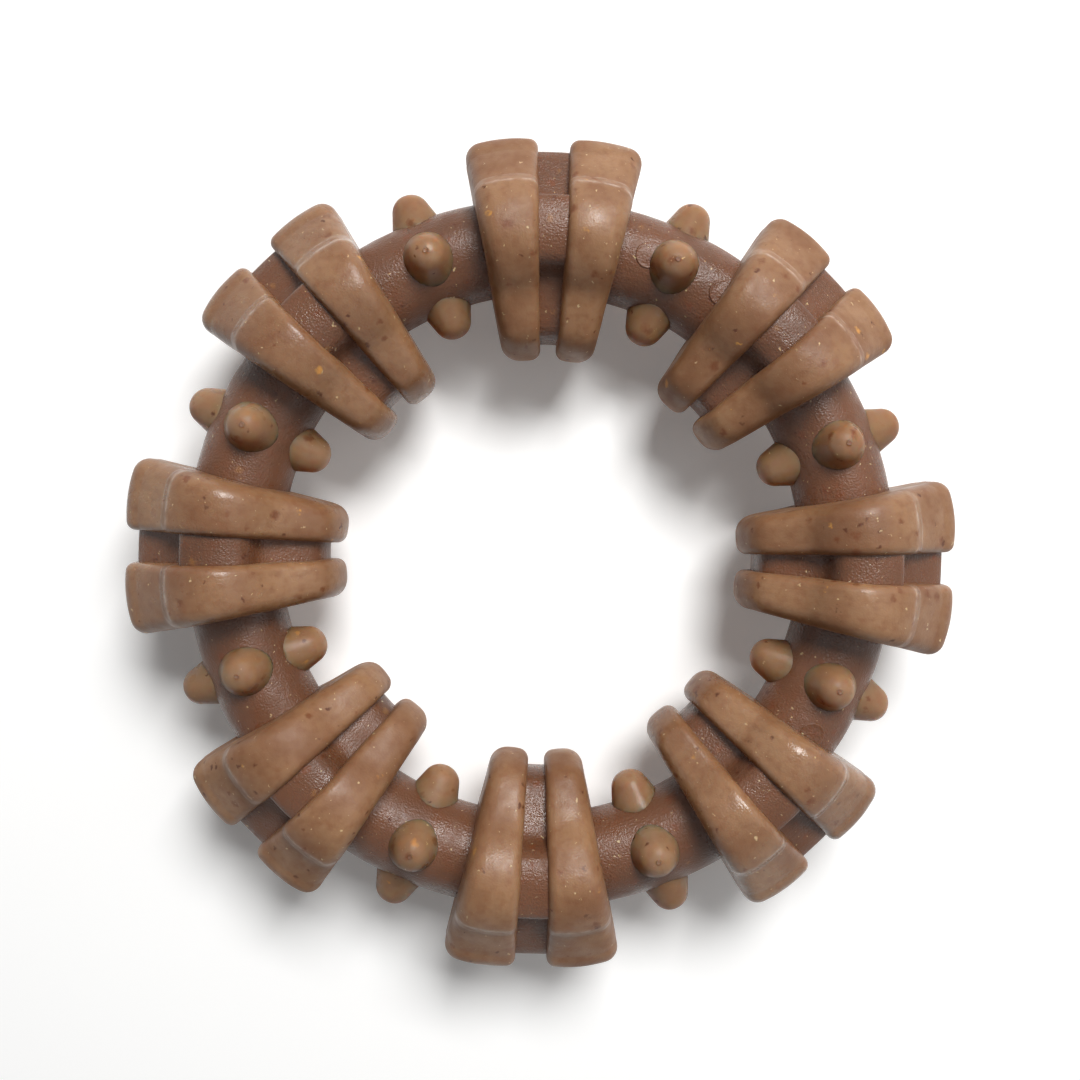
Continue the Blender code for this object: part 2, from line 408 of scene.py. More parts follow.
def speckled_nylon(name, colours, tint, shade, finish):
    """Nylon with ground food husks in it: cloudy, flecked and a little see-through.

    tint and shade are its two clouded colours. In finish, polished and dull are the roughness of
    such places, and sheen is the strength of the gloss. grain, drag and lumps are the depths of the
    relief, with the grain's size, and lay is the length of flow marks round, out from and along the
    axis. streaks, mottle, flakes, glint and the last, the pale shoulders' rub, are the strengths of
    those marks; the glints are painted glints, and the pale shoulders are partly rubbing and partly
    painted highlight. glow is the share of light that goes into the nylon, and depth is how far it
    travels there.
    """
    material = bpy.data.materials.new(name)
    material.use_nodes = True
    tree = material.node_tree
    tree.nodes.clear()
    place = add(tree, "ShaderNodeTexCoord").outputs["Object"]
    # Clouds about 9 mm wide, from uneven mixing
    clouds = add(tree, "ShaderNodeTexNoise", {"Vector": place, "Scale": 1 / (9 * MM), "Detail": 3.0})
    fade = add(
        tree, "ShaderNodeMapRange", {"Value": clouds.outputs["Fac"], "From Min": 0.35, "From Max": 0.68}
    )
    colour = add(
        tree, "ShaderNodeMix", {0: fade.outputs[0], 6: tint, 7: shade}, data_type="RGBA"
    ).outputs[2]
    # Flow marks lie along the way that the melt ran
    parts = add(tree, "ShaderNodeSeparateXYZ", {0: place})
    turn = add(
        tree, "ShaderNodeMath", {0: parts.outputs["Y"], 1: parts.outputs["X"]}, operation="ARCTAN2"
    )
    round_way = add(tree, "ShaderNodeMath", {0: turn.outputs[0], 1: FLOW_RADIUS}, operation="MULTIPLY")
    flat = add(tree, "ShaderNodeCombineXYZ", {"X": parts.outputs["X"], "Y": parts.outputs["Y"]})
    out_way = add(tree, "ShaderNodeVectorMath", {0: flat.outputs[0]}, operation="LENGTH")
    ways = add(
        tree,
        "ShaderNodeCombineXYZ",
        {"X": round_way.outputs[0], "Y": out_way.outputs["Value"], "Z": parts.outputs["Z"]},
    )
    along = add(tree, "ShaderNodeVectorMath", {0: ways.outputs[0], 1: finish["lay"]}, operation="DIVIDE")
    flow = add(tree, "ShaderNodeTexNoise", {"Vector": along.outputs[0], "Scale": 1.0, "Detail": 2.0})
    streak = add(
        tree,
        "ShaderNodeMapRange",
        {"Value": flow.outputs["Fac"], "From Min": 0.45, "From Max": 0.8, "To Max": finish["streaks"]},
    )
    colour = add(
        tree, "ShaderNodeMix", {0: streak.outputs[0], 6: colour, 7: shade}, data_type="RGBA"
    ).outputs[2]
    # Mottles about 1.3 mm wide, where the ground husks show through the skin
    mottles = add(tree, "ShaderNodeTexNoise", {"Vector": place, "Scale": 1 / (1.3 * MM), "Detail": 4.0})
    mottled = add(
        tree,
        "ShaderNodeMapRange",
        {"Value": mottles.outputs["Fac"], "From Min": 0.45, "From Max": 0.75, "To Max": finish["mottle"]},
    )
    colour = add(
        tree, "ShaderNodeMix", {0: mottled.outputs[0], 6: colour, 7: colours.rind}, data_type="RGBA"
    ).outputs[2]
    # Painted light: amber on the flanks of the nubs, growing towards their feet, for light that comes
    # through them
    thin = add(tree, "ShaderNodeAttribute", attribute_name="thin_edge")
    through = add(tree, "ShaderNodeMath", {0: thin.outputs["Fac"], 1: AMBER_SHARE}, operation="MULTIPLY")
    colour = add(
        tree, "ShaderNodeMix", {0: through.outputs[0], 6: colour, 7: colours.amber}, data_type="RGBA"
    ).outputs[2]
    # Flecks have ragged outlines: their cells are pushed about by some 0.6 mm
    rag = add(tree, "ShaderNodeTexNoise", {"Vector": place, "Scale": 1 / (0.8 * MM), "Detail": 2.0})
    pushed = add(
        tree,
        "ShaderNodeVectorMath",
        {0: rag.outputs["Color"], 1: (1.3 * MM,) * 3, 2: place},
        operation="MULTIPLY_ADD",
    ).outputs[0]
    for cell, share, width, fleck, strength in (
        (3.0, 0.4, 2.0, colours.rind, 0.8),
        (4.6, 0.35, 1.6, colours.flake, finish["flakes"]),
        (2.4, 0.5, 1.15, colours.char, 0.95),
        (1.6, 0.5, 0.5, colours.husk_and_glint, 0.65),
    ):
        colour = flecked(tree, colour, pushed, cell * MM, share, width * MM, fleck, strength)
    # Painted glints: pale specks that stand in for the skin's sparkle of light. They are 0.1 mm wide in
    # the real skin, and drawn up to 0.28 mm wide so that they show
    colour = flecked(tree, colour, pushed, 0.9 * MM, 0.3, 0.28 * MM, colours.husk_and_glint, finish["glint"])
    # Shoulders are painted pale in patches about 1.5 mm wide: partly rubbing, partly a painted highlight
    pale_rim_mask = add(tree, "ShaderNodeAttribute", attribute_name="rim_wear")
    pale_patch_noise = add(tree, "ShaderNodeTexNoise", {"Vector": place, "Scale": 1 / (1.5 * MM), "Detail": 3.0})
    patchy = add(
        tree, "ShaderNodeMapRange", {"Value": pale_patch_noise.outputs["Fac"], "From Min": 0.38, "From Max": 0.64}
    )
    pale_part = add(
        tree, "ShaderNodeMath", {0: pale_rim_mask.outputs["Fac"], 1: patchy.outputs[0]}, operation="MULTIPLY"
    )
    pale_share = add(
        tree, "ShaderNodeMath", {0: pale_part.outputs[0], 1: finish["wear"]}, operation="MULTIPLY"
    )
    colour = add(
        tree, "ShaderNodeMix", {0: pale_share.outputs[0], 6: colour, 7: colours.rub_and_highlight}, data_type="RGBA"
    ).outputs[2]
    # Grain, drag lines along the flow and lumps 1.6 mm wide break the gloss up. The grain is 0.1 mm
    # wide in the real skin, and drawn coarser so that it shows
    grain = add(
        tree, "ShaderNodeTexNoise", {"Vector": place, "Scale": 1 / finish["grain_size"], "Detail": 2.0}
    )
    lumps = add(tree, "ShaderNodeTexNoise", {"Vector": place, "Scale": 1 / (1.6 * MM), "Detail": 1.0})
    skin = None
    for height, relief in ((grain, "grain"), (flow, "drag"), (lumps, "lumps")):
        above = {"Normal": skin.outputs[0]} if skin else {}
        skin = add(
            tree, "ShaderNodeBump", {"Height": height.outputs["Fac"], "Distance": finish[relief], **above}
        )
    # Handling has polished some places, a few millimetres wide, and left others dull
    handled = add(tree, "ShaderNodeTexNoise", {"Vector": place, "Scale": 1 / (4.5 * MM), "Detail": 4.0})
    dulled = add(
        tree,
        "ShaderNodeMapRange",
        {
            "Value": handled.outputs["Fac"],
            "From Min": 0.35,
            "From Max": 0.65,
            "To Min": finish["polished"],
            "To Max": finish["dull"],
        },
    )
    gloss = add(tree, "ShaderNodeAttribute", attribute_name="gloss")
    polish = add(
        tree,
        "ShaderNodeMath",
        {0: gloss.outputs["Fac"], 1: -GLOSS_GAIN, 2: dulled.outputs[0]},
        operation="MULTIPLY_ADD",
    )
    shader = add(
        tree,
        "ShaderNodeBsdfPrincipled",
        {
            "Base Color": colour,
            "Roughness": polish.outputs[0],
            "IOR": NYLON_IOR,
            "Specular IOR Level": finish["sheen"],
            "Normal": skin.outputs[0],
            "Subsurface Weight": finish["glow"],
            "Subsurface Radius": LIGHT_REACH,
            "Subsurface Scale": finish["depth"],
        },
        subsurface_method="RANDOM_WALK",
    )
    add(tree, "ShaderNodeOutputMaterial", {"Surface": shader.outputs[0]})
    return material


def satin_nylon(colours):
    """Polyamide from a polished mould: satin, so that it takes soft, broken highlights."""
    finish = {
        "polished": 0.38, "dull": 0.64, "sheen": 0.33, "grain": 0.04 * MM, "grain_size": 0.3 * MM,
        "drag": 0.02 * MM, "lumps": 0.07 * MM, "lay": (1.0 * MM, 6.0 * MM, 4.0 * MM), "streaks": 0.35,
        "mottle": 0.4, "flakes": 0.8, "glint": 0.5, "wear": 0.5, "glow": 0.3, "depth": 1.3 * MM,
    }
    return speckled_nylon("satin_moulded_nylon", colours, colours.rib, colours.rib_shade, finish)


def grained_nylon(colours):
    """Polyamide from a spark-eroded mould: matt and greyer, with fine glints all over."""
    finish = {
        "polished": 0.18, "dull": 0.48, "sheen": 0.33, "grain": 0.11 * MM, "grain_size": 0.3 * MM,
        "drag": 0.05 * MM, "lumps": 0.05 * MM, "lay": (3.0 * MM, 0.35 * MM, 0.35 * MM), "streaks": 0.3,
        "mottle": 0.35, "flakes": 0.15, "glint": 0.85, "wear": 0.3, "glow": 0.3, "depth": 1.2 * MM,
    }
    return speckled_nylon("grained_moulded_nylon", colours, colours.core, colours.core_shade, finish)


def clear_nylon(colours):
    """Polyamide in thin nubs: smoother than the ribs, and light from all round softens its shading."""
    finish = {
        "polished": 0.25, "dull": 0.52, "sheen": 0.16, "grain": 0.01 * MM, "grain_size": 0.4 * MM,
        "drag": 0.02 * MM, "lumps": 0.03 * MM, "lay": (1.2 * MM, 1.2 * MM, 3.0 * MM), "streaks": 0.35,
        "mottle": 0.25, "flakes": 0.5, "glint": 0.2, "wear": 0.4, "glow": 1.0, "depth": 8.0 * MM,
    }
    return speckled_nylon("clear_moulded_nylon", colours, colours.nub, colours.nub_shade, finish)


# Shapes


def rounded(corners, steps=14):
    """Points along corners, each (outward, up, radius), with an arc where the radius isn't 0."""
    points = []
    for i, (outward, up, radius) in enumerate(corners):
        corner = Vector((outward, up))
        if not radius:
            points.append(corner)
            continue
        before, after = (
            (Vector(end[:2]) - corner).normalized()
            for end in (corners[i - 1], corners[(i + 1) % len(corners)])
        )
        half = before.angle(after) / 2
        centre = corner + (before + after).normalized() * (radius / math.sin(half))
        start = corner + before * (radius / math.tan(half)) - centre
        turn = math.copysign(math.pi - 2 * half, after.cross(before))
        points += [centre + Matrix.Rotation(turn * step / steps, 2) @ start for step in range(steps + 1)]
    return np.array(points)


def smoothed(values, pitch, length):
    """Values round a closed loop, pitch apart, each blended with its neighbours over a length."""
    reach = round(3 * length / pitch)
    shifts = np.arange(-reach, reach + 1)
    weights = np.exp(-((shifts * pitch / length) ** 2) / 2)
    blend = sum(weight * np.roll(values, shift, axis=0) for shift, weight in zip(shifts, weights))
    return blend / weights.sum()


def lobed_outline(sizes, reach, tip, crest, root, ledge, arch, shoulder, notch, spacing):
    """Closed outline of four lobes round the tube's middle, as (outward, up), spacing apart.

    crest, root and ledge are half of those sizes. Also gives its normals, and those normals eased
    round corners, along which it can be shrunk.
    """
    low, lean, nose = reach - arch, reach - arch * sizes.leaning, tip - arch * sizes.nosing
    # Corners as (outward, up, rounding): outward shoulders are rounder than upper ones, and the nose's
    # are the roundest
    upper = [
        (reach, 0.0, 0.0), (low, crest, 2 * shoulder), (root, ledge, notch), (crest, low, shoulder),
        (0.0, reach, 0.0), (-crest, lean, shoulder), (-root, ledge, notch), (-nose, crest, 3 * shoulder),
        (-tip, 0.0, 0.0),
    ]
    points = rounded(upper + [(outward, -up, radius) for outward, up, radius in upper[-2:0:-1]])
    points = np.vstack([points, points[:1]])
    run = np.concatenate([[0], np.cumsum(np.linalg.norm(np.diff(points, axis=0), axis=1))])
    count = 4 * round(run[-1] / spacing / 4)
    marks, pitch = np.linspace(0, run[-1], count, endpoint=False, retstep=True)
    outline = np.column_stack([np.interp(marks, run, points[:, i]) for i in (0, 1)])
    # Crests fall from their middles to their shoulders in a curve, flatter on the outward lobe
    for one, other in ((0, 1), (1, 0)):
        share = np.clip(np.abs(outline[:, other]) / crest, 0, 1)
        on_crest = np.abs(outline[:, one]) > np.abs(outline[:, other])
        level = one == 0
        power = np.where(level & (outline[:, 0] > 0), 6, 2)
        fall = arch * np.where(outline[:, 0] < 0, sizes.nosing if level else sizes.leaning, 1.0)
        outline[:, one] += np.sign(outline[:, one]) * fall * (share - share ** power) * on_crest
    # The inner half is softer, and its nose still ends at the tip
    soft = smoothed(outline, pitch, sizes.softening) - outline
    outline += soft * np.clip(-outline[:, :1] / crest, 0, 1)
    past = np.maximum(-outline[:, 0] - root, 0)
    outline[:, 0] -= past * ((tip - root) / past.max() - 1)
    along = np.roll(outline, -1, axis=0) - np.roll(outline, 1, axis=0)
    along /= np.linalg.norm(along, axis=1, keepdims=True)
    normals = np.column_stack([along[:, 1], -along[:, 0]])
    # More points about the mid-plane, where the parting line stands up
    close = np.array([-0.2, -0.12, -0.05, 0.05, 0.12, 0.2]) * MM
    finer = np.sort(np.concatenate([marks, close % run[-1], run[-1] / 2 + close]))
    return [
        np.column_stack([np.interp(finer, marks, part[:, i], period=run[-1]) for i in (0, 1)])
        for part in (outline, normals, smoothed(normals, pitch, EASING))
    ]


def ridge(up, height):
    """Height of the parting line's ridge at a height above the mid-plane."""
    return height * np.exp(-((up / PARTING_WIDTH) ** 2))


def loops_mesh(name, loops, closed, capped=False):
    """Mesh of quads between loops of points.

    closed joins the last loop to the first, and capped shuts both ends.
    """
    loops = np.asarray(loops)
    rows, count = loops.shape[:2]
    numbers = np.arange(rows * count).reshape(rows, count)
    here = numbers if closed else numbers[:-1]
    there = np.roll(numbers, -1, axis=0)[:len(here)]
    quads = np.stack([here, there, np.roll(there, -1, axis=1), np.roll(here, -1, axis=1)], axis=-1)
    faces = quads.reshape(-1, 4).tolist()
    if capped:
        faces += [numbers[0].tolist(), numbers[-1][::-1].tolist()]
    mesh = bpy.data.meshes.new(name)
    mesh.from_pydata(loops.reshape(-1, 3).tolist(), [], faces)
    mesh.shade_smooth()
    return mesh


def about_axis(radius, turn, up):
    """Points at radii from the ring's axis, turns about it and heights."""
    return np.column_stack([radius * np.cos(turn), radius * np.sin(turn), up])


def mark(mesh, name, values):
    """Keep a value for each point of mesh, for its material to read."""
    attribute = mesh.attributes.new(name, "FLOAT", "POINT")
    attribute.data.foreach_set("value", np.ravel(values).astype(np.float32))


def band_mesh(sizes):
    """The left band of a pair whose middle lies on +X: flanks, rounded rims and crowned crests."""
    outline, normals, eased = lobed_outline(
        sizes,
        sizes.rib_reach,
        sizes.rib_nose,
        sizes.rib_crest / 2,
        sizes.rib_root / 2,
        sizes.rib_ledge / 2,
        sizes.rib_arch,
        sizes.rib_shoulder,
        sizes.rib_notch,
        BAND_SPACING,
    )
    bore_radius = sizes.tube_diameter / 2 - BORE_SINK
    bore = outline / np.linalg.norm(outline, axis=1, keepdims=True) * bore_radius
    crest = outline + normals * ridge(outline[:, 1], sizes.flash)[:, None]
    first = sizes.groove_angle / 2
    last = first + sizes.rib_angle
    # The upper and lower lobes are painted pale along their outward shoulders, partly for rubbing and
    # partly as a painted highlight
    on_shoulder = np.clip(1 - np.abs(normals[:, 0] - PALE_RIM_SLOPE) / PALE_RIM_SPREAD, 0, 1)
    pale_shoulder = on_shoulder * (np.abs(outline[:, 1]) > sizes.rib_ledge / 2)
    sides = []
    for edge, rim, way in ((first, sizes.groove_rim, 1), (last, sizes.outer_rim, -1)):
        loops, pale_rim_rows = [], []
        steps = [(blend, rim, 0.0) for blend in FLANK_SHARES]
        for turn in np.linspace(0, math.pi / 2 - sizes.pillow, RIM_STEPS):
            steps.append((0.0, rim * (1 - math.sin(turn)), rim * (1 - math.cos(turn))))
        for blend, inset, inward in steps:
            place = (crest - eased * inset) * (1 - blend) + bore * blend
            radius = sizes.ring_radius + place[:, 0]
            lean = np.abs(place[:, 1]) * math.tan(sizes.draft)
            lean = lean - ridge(place[:, 1], sizes.flash) * (1 - inward / rim)
            loops.append(about_axis(radius, edge + way * (inward + lean) / radius, place[:, 1]))
            pale_rim_rows.append(pale_shoulder * (blend == 0))
        sides.append((loops, pale_rim_rows))
    (loops, pale_rim_rows), (far_loops, far_pale_rim_rows) = sides
    near, far = loops[-1], far_loops[-1]
    near_turn, far_turn = (np.arctan2(loop[:, 1], loop[:, 0]) for loop in (near, far))
    for share in np.linspace(0, 1, CREST_STEPS)[1:-1]:
        rim = sizes.groove_rim * (1 - share) + sizes.outer_rim * share
        width = (far_turn - near_turn) * (sizes.ring_radius + crest[:, 0])
        bulge = math.tan(sizes.pillow) * width * share * (1 - share) - rim * (1 - math.cos(sizes.pillow))
        place = crest + normals * bulge[:, None]
        turn = near_turn * (1 - share) + far_turn * share
        loops.append(about_axis(sizes.ring_radius + place[:, 0], turn, place[:, 1]))
        pale_rim_rows.append(pale_shoulder)
    mesh = loops_mesh("rib_band", loops + far_loops[::-1], True)
    mark(mesh, "rim_wear", pale_rim_rows + far_pale_rim_rows[::-1])
    return mesh


def core_sector_mesh(sizes):
    """The part of the core that belongs to one pair, whose middle lies on +X: tube, hub and tube."""
    outline, _, _ = lobed_outline(
        sizes,
        sizes.hub_reach,
        sizes.hub_nose,
        sizes.hub_crest / 2,
        sizes.hub_root / 2,
        sizes.hub_ledge / 2,
        sizes.hub_arch,
        sizes.hub_shoulder,
        HUB_NOTCH,
        HUB_SPACING,
    )
    tube = outline / np.linalg.norm(outline, axis=1, keepdims=True) * (sizes.tube_diameter / 2)
    tube = tube * (1 + ridge(tube[:, 1], sizes.flash) / (sizes.tube_diameter / 2))[:, None]
    end = math.pi / sizes.pair_count
    hub_end = sizes.groove_angle / 2 + HUB_OVERLAP / sizes.ring_radius
    stations = [(turn, tube) for turn in np.linspace(-end, -hub_end, TUBE_STEPS)]
    stations += [(turn, outline) for turn in np.linspace(-hub_end, hub_end, HUB_STEPS)]
    stations += [(turn, tube) for turn in np.linspace(hub_end, end, TUBE_STEPS)]
    loops = [about_axis(sizes.ring_radius + place[:, 0], turn, place[:, 1]) for turn, place in stations]
    return loops_mesh("core_sector", loops, False)


def nub_mesh(sizes, gated):
    """One nub about +Z, with its seat sunk in the tube; gated leaves the gate's scar on its tip."""
    foot = sizes.tube_diameter / 2 - NUB_SEAT
    tip = sizes.tube_diameter / 2 + sizes.nub_height
    flare = (sizes.nub_base - sizes.nub_tip) / 2 / sizes.nub_height
    foot_radius = sizes.nub_tip / 2 + (tip - foot) * flare
    edge = (sizes.nub_tip / 2, tip - NUB_CROWN, sizes.nub_rounding)
    side = rounded([(foot_radius, foot, 0.0), edge, (0.0, tip, 0.0)], NUB_ARC_STEPS)
    shares = np.linspace(0, 1, NUB_FLANK_STEPS)[:-1]
    lower = [side[0] * (1 - share) + side[1] * share for share in shares]
    top = [(radius * MM, tip + height * MM) for radius, height in (GATE_SCAR if gated else PLAIN_TIP)]
    profile = np.array([*lower, *side[1:-1], *top])[::-1]
    around = np.linspace(0, math.tau, NUB_SIDES, endpoint=False)
    loops = [about_axis(radius, around, np.full(len(around), up)) for radius, up in profile]
    mesh = loops_mesh("nub", loops, False, True)
    # Share of painted amber light on the nub: none at the tip, growing to the foot
    below = np.clip((tip - profile[:, 1]) / sizes.nub_height, 0, 1)
    mark(mesh, "thin_edge", np.repeat(below, len(around)))
    return mesh


def pin_mark_loops(sizes, turn, tilt):
    """A thin disc on the tube with a raised edge, as an ejector pin leaves it."""
    tube = sizes.tube_diameter / 2
    around = np.linspace(0, math.tau, PIN_SIDES, endpoint=False)
    loops = []
    for share, height in PIN_EDGE:
        reach = share * sizes.pin_mark / 2
        ring_turn = turn + reach * np.cos(around) / sizes.ring_radius
        tube_turn = tilt + reach * np.sin(around) / tube
        out = tube + height * MM
        radius = sizes.ring_radius + out * np.cos(tube_turn)
        loops.append(about_axis(radius, ring_turn, out * np.sin(tube_turn)))
    return loops


# Geometry Nodes


def new_tree(name, sockets):
    """A node tree with its input and output, and the identifiers of its inputs by name."""
    tree = bpy.data.node_groups.new(name, "GeometryNodeTree")
    tree.interface.new_socket("Geometry", in_out="OUTPUT", socket_type="NodeSocketGeometry")
    names = {
        label: tree.interface.new_socket(label, in_out="INPUT", socket_type=kind).identifier
        for label, kind in sockets.items()
    }
    return tree, add(tree, "NodeGroupInput").outputs, names


def end_tree(tree, geometry, taken):
    """Dent the skin softly, give it its material and send it out as one mesh."""
    whole = add(tree, "GeometryNodeRealizeInstances", {"Geometry": geometry})
    merged = add(
        tree, "GeometryNodeMergeByDistance", {"Geometry": whole.outputs[0], "Distance": MERGE_DISTANCE}
    )
    pitch = add(tree, "ShaderNodeMath", {0: 1.0, 1: taken["Dip size"]}, operation="DIVIDE")
    place = add(tree, "GeometryNodeInputPosition")
    dips = add(
        tree,
        "ShaderNodeTexNoise",
        {"Vector": place.outputs[0], "Scale": pitch.outputs[0], "Detail": 1.0, "W": taken["Seed"]},
        noise_dimensions="4D",
    )
    depth = add(
        tree,
        "ShaderNodeMapRange",
        {"Value": dips.outputs["Fac"], "From Min": 0.25, "From Max": 0.65, "To Min": -1.0, "To Max": 0.0},
    )
    deep = add(
        tree, "ShaderNodeMath", {0: depth.outputs[0], 1: taken["Unevenness"]}, operation="MULTIPLY"
    )
    normal = add(tree, "GeometryNodeInputNormal")
    push = add(
        tree, "ShaderNodeVectorMath", {0: normal.outputs[0], "Scale": deep.outputs[0]}, operation="SCALE"
    )
    dented = add(
        tree, "GeometryNodeSetPosition", {"Geometry": merged.outputs[0], "Offset": push.outputs[0]}
    )
    smooth = add(tree, "GeometryNodeSetShadeSmooth", {"Geometry": dented.outputs[0]})
    single = add(tree, "GeometryNodeRealizeInstances", {"Geometry": smooth.outputs[0]})
    coated = add(
        tree, "GeometryNodeSetMaterial", {"Geometry": single.outputs[0], "Material": taken["Material"]}
    )
    add(tree, "NodeGroupOutput", {0: coated.outputs[0]})


SKIN_SOCKETS = {
    "Unevenness": "NodeSocketFloat",
    "Dip size": "NodeSocketFloat",
    "Seed": "NodeSocketFloat",
    "Material": "NodeSocketMaterial",
}


def core_tree():
    """Sectors of the core set round the ring's axis and joined."""
    tree, taken, names = new_tree(
        "core_sectors", {"Sector": "NodeSocketGeometry", "Pairs": "NodeSocketInt", **SKIN_SOCKETS}
    )
    points = add(tree, "GeometryNodePoints", {"Count": taken["Pairs"]})
    pitch = add(tree, "ShaderNodeMath", {0: math.tau, 1: taken["Pairs"]}, operation="DIVIDE")
    number = add(tree, "GeometryNodeInputIndex")
    turn = add(
        tree,
        "ShaderNodeMath",
        {0: number.outputs[0], 1: pitch.outputs[0], 2: FIRST_PAIR},
        operation="MULTIPLY_ADD",
    )
    spin = add(tree, "ShaderNodeCombineXYZ", {"Z": turn.outputs[0]})
    sectors = add(
        tree,
        "GeometryNodeInstanceOnPoints",
        {"Points": points.outputs[0], "Instance": taken["Sector"], "Rotation": spin.outputs[0]},
    )
    end_tree(tree, sectors.outputs[0], taken)
    return tree, names


def rib_pair_tree():
    """A band and its mirror image, turned to their place on the ring."""
    tree, taken, names = new_tree(
        "rib_pair", {"Left band": "NodeSocketGeometry", "Turn": "NodeSocketFloat", **SKIN_SOCKETS}
    )
    mirrored = add(
        tree, "GeometryNodeTransform", {"Geometry": taken["Left band"], "Scale": (1.0, -1.0, 1.0)}
    )
    right = add(tree, "GeometryNodeFlipFaces", {"Mesh": mirrored.outputs[0]})
    both = add(tree, "GeometryNodeJoinGeometry", {"Geometry": [taken["Left band"], right.outputs[0]]})
    spin = add(tree, "ShaderNodeCombineXYZ", {"Z": taken["Turn"]})
    turned = add(
        tree, "GeometryNodeTransform", {"Geometry": both.outputs[0], "Rotation": spin.outputs[0]}
    )
    end_tree(tree, turned.outputs[0], taken)
    return tree, names


def nub_cross_tree():
    """A gated nub on top of the tube and plain ones outward, below and inward, grown from no mesh."""
    tree, taken, names = new_tree(
        "nub_cross",
        {
            "Nubs": "NodeSocketGeometry",
            "Gated nub": "NodeSocketObject",
            "Plain nub": "NodeSocketObject",
            "Ring radius": "NodeSocketFloat",
            "Turn": "NodeSocketFloat",
            **SKIN_SOCKETS,
        },
    )
    points = add(tree, "GeometryNodePoints", {"Count": 4})
    number = add(tree, "GeometryNodeInputIndex")
    tilt = add(tree, "ShaderNodeMath", {0: number.outputs[0], 1: math.pi / 2}, operation="MULTIPLY")
    lean = add(tree, "ShaderNodeCombineXYZ", {"Y": tilt.outputs[0]})
    nubs = []
    for label, chosen in (("Gated nub", "LESS_THAN"), ("Plain nub", "GREATER_THAN")):
        source = add(tree, "GeometryNodeObjectInfo", {"Object": taken[label]})
        picked = add(tree, "ShaderNodeMath", {0: number.outputs[0], 1: 0.5}, operation=chosen)
        nubs.append(
            add(
                tree,
                "GeometryNodeInstanceOnPoints",
                {
                    "Points": points.outputs[0],
                    "Selection": picked.outputs[0],
                    "Instance": source.outputs["Geometry"],
                    "Rotation": lean.outputs[0],
                },
            ).outputs[0]
        )
    cross = add(tree, "GeometryNodeJoinGeometry", {"Geometry": nubs})
    out = add(tree, "ShaderNodeCombineXYZ", {"X": taken["Ring radius"]})
    moved = add(
        tree, "GeometryNodeTransform", {"Geometry": cross.outputs[0], "Translation": out.outputs[0]}
    )
    spin = add(tree, "ShaderNodeCombineXYZ", {"Z": taken["Turn"]})
    turned = add(
        tree, "GeometryNodeTransform", {"Geometry": moved.outputs[0], "Rotation": spin.outputs[0]}
    )
    end_tree(tree, turned.outputs[0], taken)
    return tree, names


def grown(name, mesh, tree, names, values):
    """The piece that a tree grows from a mesh, as a plain mesh at the origin."""
    seed = bpy.data.objects.new(name, mesh)
    bpy.context.scene.collection.objects.link(seed)
    modifier = seed.modifiers.new("shape", "NODES")
    modifier.node_group = tree
    for label, value in values.items():
        modifier[names[label]] = value
    bpy.context.view_layer.update()
    graph = bpy.context.evaluated_depsgraph_get()
    plain = bpy.data.meshes.new_from_object(seed.evaluated_get(graph), depsgraph=graph)
    plain.name = name
    bpy.data.objects.remove(seed)
    piece = bpy.data.objects.new(name, plain)
    bpy.context.scene.collection.objects.link(piece)
    return piece


def skin_values(sizes, material, seed):
    """What every tree takes for its skin."""
    return {
        "Unevenness": sizes.unevenness,
        "Dip size": sizes.dip_size,
        "Seed": seed,
        "Material": material,
    }


def pair_turns(sizes):
    """Turns of the pairs about the ring's axis, clockwise from the first."""
    return [FIRST_PAIR - i * math.tau / sizes.pair_count for i in range(sizes.pair_count)]


class CHEWRING_OT_core(bpy.types.Operator):
    """Builds the core ring: a tube with a lobed hub for each pair of bands"""

    bl_idname = "chewring.core"
    bl_label = "Core ring"

    def execute(self, context):
        sizes = context.scene.chew_ring_sizes
        tree, names = core_tree()
        material = grained_nylon(context.scene.chew_ring_colours)
        values = {"Pairs": sizes.pair_count, **skin_values(sizes, material, seed=1.0)}
        piece = grown("core_ring_skin", core_sector_mesh(sizes), tree, names, values)
        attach(piece, BODY)
        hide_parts("core_ring")
        return {"FINISHED"}


class CHEWRING_OT_pin_marks(bpy.types.Operator):
    """Builds the three marks that ejector pins left on top of the tube"""

    bl_idname = "chewring.pin_marks"
    bl_label = "Ejector pin marks"

    def execute(self, context):
        sizes = context.scene.chew_ring_sizes
        for number, (clockwise, lean) in enumerate(PIN_MARKS, 1):
            turn, tilt = FIRST_PAIR - math.radians(clockwise), math.radians(90 - lean)
            loops = pin_mark_loops(sizes, turn, tilt)
            mesh = loops_mesh(f"pin_mark_{number}", loops, False, True)
            mesh.materials.append(bpy.data.materials["grained_moulded_nylon"])
            piece = bpy.data.objects.new(f"pin_mark_{number}", mesh)
            context.scene.collection.objects.link(piece)
            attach(piece, BODY)
        return {"FINISHED"}


class CHEWRING_OT_bands(bpy.types.Operator):
    """Builds the pairs of rib bands"""

    bl_idname = "chewring.bands"
    bl_label = "Rib bands"

    def execute(self, context):
        sizes = context.scene.chew_ring_sizes
        tree, names = rib_pair_tree()
        material = satin_nylon(context.scene.chew_ring_colours)
        band = band_mesh(sizes)
        for number, (turn, gloss) in enumerate(zip(pair_turns(sizes), PAIR_GLOSS), 1):
            values = {"Turn": turn, **skin_values(sizes, material, seed=2.0)}
            piece = grown(f"rib_pair_{number}", band, tree, names, values)
            mark(piece.data, "gloss", np.full(len(piece.data.vertices), gloss))
            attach(piece, BODY)
            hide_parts(f"rib_band_{number}_left", f"rib_band_{number}_right")
        return {"FINISHED"}


